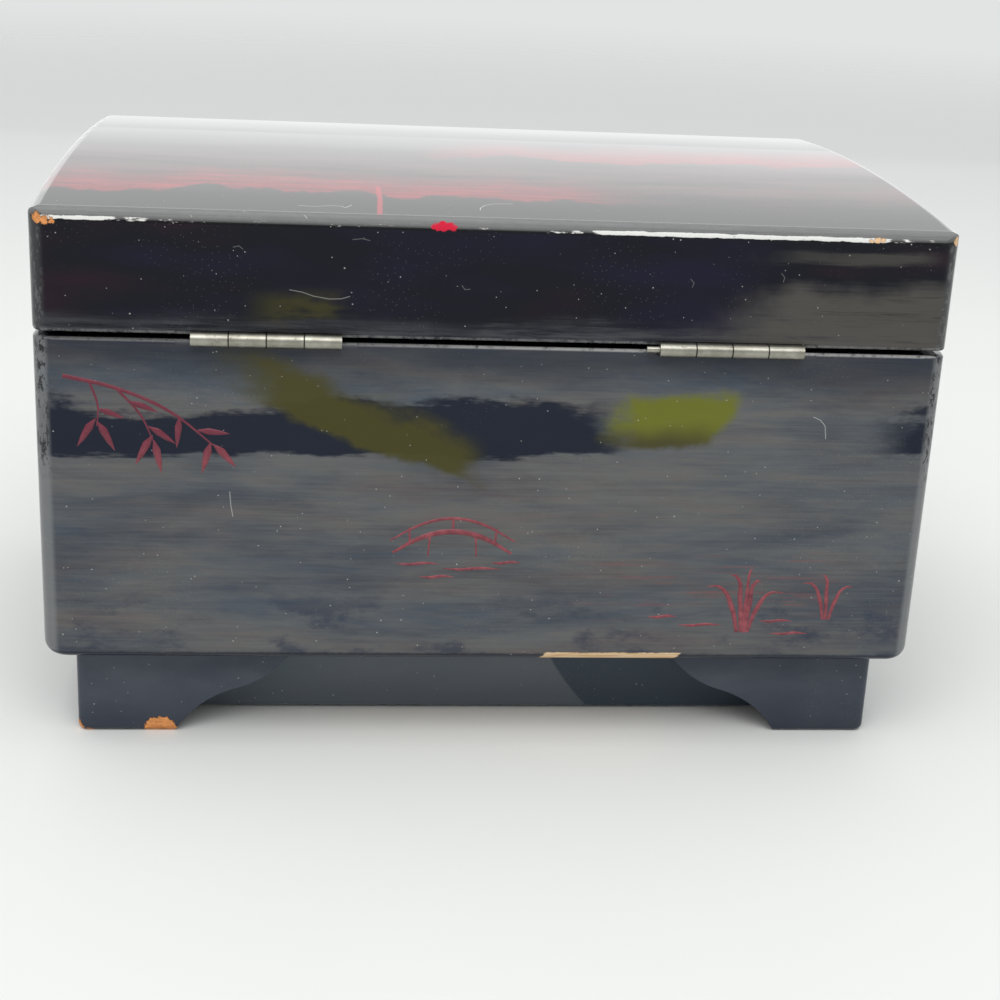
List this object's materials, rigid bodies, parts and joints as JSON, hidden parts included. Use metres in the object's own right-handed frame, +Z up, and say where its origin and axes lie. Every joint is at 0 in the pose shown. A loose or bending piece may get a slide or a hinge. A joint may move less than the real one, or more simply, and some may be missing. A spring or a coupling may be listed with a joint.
{
  "type": "musical jewelry box",
  "caption": "Lacquered wooden jewelry box on ogee bracket feet, with a crowned hinged lid, lined tray, front drawer and bottom-wound musical movement stopped by the lid.",
  "frame": {"origin": "on the floor, under the middle of the object's outer box", "axes": "+X along the width, the longest extent; +Z up; the drawer faces -Y and the lid's hinges are at the back, on the +Y side"},
  "size_m": [0.18, 0.1414, 0.1141],
  "materials": {
    "lacquer": "high-gloss black lacquer over wood, painted",
    "bare_wood": "unfinished softwood",
    "velvet": "short-pile velvet",
    "nickel": "satin nickel plate",
    "steel": "bright steel",
    "brass": "polished brass",
    "zinc": "plain die-cast zinc",
    "mirror_glass": "silvered glass",
    "clear_window": "clear sheet"
  },
  "bodies": {
    "case": {"back_panel": "lacquer", "left_side_panel": "lacquer", "right_side_panel": "lacquer", "front_panel": "lacquer", "front_rail": "lacquer", "foot_front_left": "lacquer", "foot_front_right": "lacquer", "foot_back_left": "lacquer", "foot_back_right": "lacquer", "base_front_rail": "lacquer", "base_back_rail": "lacquer", "base_side_rails": "lacquer", "bottom_panel": "bare_wood", "tray_deck": "bare_wood", "drawer_runners": "bare_wood", "drawer_stop": "bare_wood", "tray_cross_divider": "velvet", "tray_short_dividers": "velvet", "tray_front_divider": "velvet", "tray_lining": "velvet", "ring_rolls": "velvet", "hinge_case_leaf_left": "nickel", "hinge_case_leaf_right": "nickel", "hinge_pin_left": "nickel", "hinge_pin_right": "nickel", "hinge_case_screws": "nickel", "movement_screws": "steel", "tuned_comb": "steel", "comb_screws": "brass", "governor_bracket": "brass", "movement_bedplate": "zinc", "movement_window": "clear_window"},
    "lid": {"lid_board": "lacquer", "lid_back_rail": "lacquer", "lid_front_rail": "lacquer", "lid_left_rail": "lacquer", "lid_right_rail": "lacquer", "lid_lining": "velvet", "mirror": "mirror_glass", "mirror_beading": "brass", "hinge_lid_leaf_left": "nickel", "hinge_lid_leaf_right": "nickel", "hinge_lid_screws": "nickel"},
    "drawer": {"drawer_front": "lacquer", "drawer_left_side": "bare_wood", "drawer_right_side": "bare_wood", "drawer_back": "bare_wood", "drawer_bottom": "bare_wood", "drawer_lining": "velvet", "drawer_knob": "nickel", "drawer_knob_screw": "steel"},
    "winder": {"winding_arbor": "steel", "winding_key": "nickel"},
    "barrel": {"spring_barrel": "brass", "mainspring": "steel"},
    "music_cylinder": {"pinned_cylinder": "brass", "cylinder_arbor": "steel", "cylinder_wheel": "brass"},
    "governor_shaft": {"governor": "steel"},
    "stop": {"stop_rod": "steel"}
  },
  "joints": [
    {"name": "lid_hinge", "type": "hinge", "parent": "case", "child": "lid", "pos_m": [0, 0.06928, 0.0875], "axis": [-1, 0, 0], "range_deg": [0, 100]},
    {"name": "drawer_slide", "type": "slide", "parent": "case", "child": "drawer", "axis": [0, -1, 0], "range_m": [0, 0.05]},
    {"name": "key_turn", "type": "hinge", "parent": "case", "child": "winder", "pos_m": [-0.015, 0.02928, 0.01], "axis": [0, 0, 1], "continuous": true},
    {"name": "barrel_spin", "type": "hinge", "parent": "case", "child": "barrel", "pos_m": [-0.015, 0.02928, 0.033], "axis": [0, 0, 1], "continuous": true},
    {"name": "cylinder_spin", "type": "hinge", "parent": "case", "child": "music_cylinder", "pos_m": [0.01, 0.02928, 0.0425], "axis": [1, 0, 0], "continuous": true},
    {"name": "governor_spin", "type": "hinge", "parent": "case", "child": "governor_shaft", "pos_m": [0.0219, 0.03793, 0.0425], "axis": [0, 0, 1], "continuous": true},
    {"name": "stop_lift", "type": "slide", "parent": "case", "child": "stop", "axis": [0, 0, 1], "range_m": [0, 0.003]}
  ],
  "couplings": [
    {"joint": "cylinder_spin", "follows": "barrel_spin", "ratio": 2},
    {"joint": "governor_spin", "follows": "barrel_spin", "ratio": -40},
    {"joint": "stop_lift", "follows": "lid_hinge", "m_per_rad": 0.001718}
  ]
}
